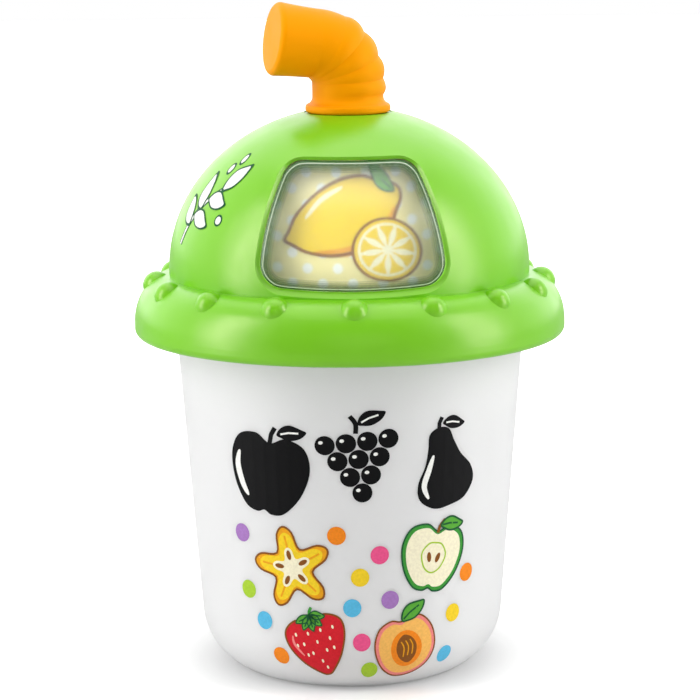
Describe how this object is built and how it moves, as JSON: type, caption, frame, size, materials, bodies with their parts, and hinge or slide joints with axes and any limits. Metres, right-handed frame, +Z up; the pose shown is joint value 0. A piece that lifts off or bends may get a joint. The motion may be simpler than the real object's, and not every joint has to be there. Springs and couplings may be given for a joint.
{
  "type": "toy smoothie cup",
  "caption": "Toddler's electronic smoothie cup: translucent tapered cup, domed lid with a window, and a bendy straw that turns a drum of fruit pictures.",
  "frame": {"origin": "centre of the foot ring, on the surface the cup stands on", "axes": "+Z up through the straw's vertical tube; the window faces -Y"},
  "size_m": [0.117, 0.117, 0.181],
  "materials": {
    "cup_plastic": "satin translucent white",
    "lid_plastic": "satin lime green",
    "straw_plastic": "satin orange",
    "clear_lens": "clear moulded plastic",
    "white_plastic": "matt",
    "green_inner": "matt dark green",
    "grey_plastic": "matt",
    "black_plastic": "matt",
    "screw_steel": "zinc plated",
    "frame_steel": "plain",
    "spring_metal": "bright plated",
    "circuit_board": "solder mask",
    "cell_jacket": "plain jacket",
    "lamp_clear": "clear dome",
    "cone_paper": "matt",
    "wire_red": "insulation",
    "wire_grey": "insulation",
    "lemon_print": "printed card",
    "berry_print": "printed card",
    "orange_print": "printed card",
    "apple_print": "printed card",
    "plum_print": "printed card"
  },
  "bodies": {
    "housing": {"cup_shell": "cup_plastic", "lid_shell": "lid_plastic", "window_lens": "clear_lens", "spindle_bush": "white_plastic", "lid_plate": "green_inner", "lid_plate_screws": "screw_steel", "flange_screws": "screw_steel", "encoder_board": "circuit_board", "encoder_screws": "screw_steel", "encoder_plug": "white_plastic", "battery_box": "grey_plastic", "box_screws": "screw_steel", "front_cell": "cell_jacket", "rear_cell": "cell_jacket", "contact_plates": "spring_metal", "contact_springs": "spring_metal", "main_board": "circuit_board", "board_screws": "screw_steel", "lamps": "lamp_clear", "sound_chip": "black_plastic", "capacitor": "black_plastic", "board_plug": "white_plastic", "speaker_frame": "frame_steel", "speaker_cone": "cone_paper", "speaker_magnet": "frame_steel", "speaker_clamp": "grey_plastic", "clamp_screws": "screw_steel", "slide_switch": "frame_steel", "lid_cable": "wire_grey", "switch_lead_a": "wire_red", "switch_lead_b": "wire_grey", "speaker_lead_a": "wire_red", "speaker_lead_b": "wire_grey"},
    "straw_spinner": {"straw": "straw_plastic", "spindle": "white_plastic", "drum_washer": "white_plastic", "picture_drum": "white_plastic", "lemon_card": "lemon_print", "berry_card": "berry_print", "orange_card": "orange_print", "apple_card": "apple_print", "plum_card": "plum_print", "contact_rotor": "white_plastic", "drum_screw": "screw_steel", "wiper_contact": "spring_metal"},
    "battery_door": {"battery_door": "cup_plastic"},
    "door_screw": {"door_screw": "screw_steel"},
    "switch_slider": {"switch_knob": "black_plastic"}
  },
  "joints": [
    {"name": "straw_turn", "type": "hinge", "parent": "housing", "child": "straw_spinner", "pos_m": [0, 0, 0.151], "axis": [0, 0, 1], "continuous": true},
    {"name": "door_open", "type": "hinge", "parent": "housing", "child": "battery_door", "pos_m": [0, -0.0068, 0.0027], "axis": [-1, 0, 0], "range_deg": [0, 75]},
    {"name": "door_screw_out", "type": "slide", "parent": "battery_door", "child": "door_screw", "axis": [0, 0, -1], "range_m": [0, 0.005]},
    {"name": "switch_slide", "type": "slide", "parent": "housing", "child": "switch_slider", "axis": [0, 1, 0], "range_m": [0, 0.005]}
  ]
}
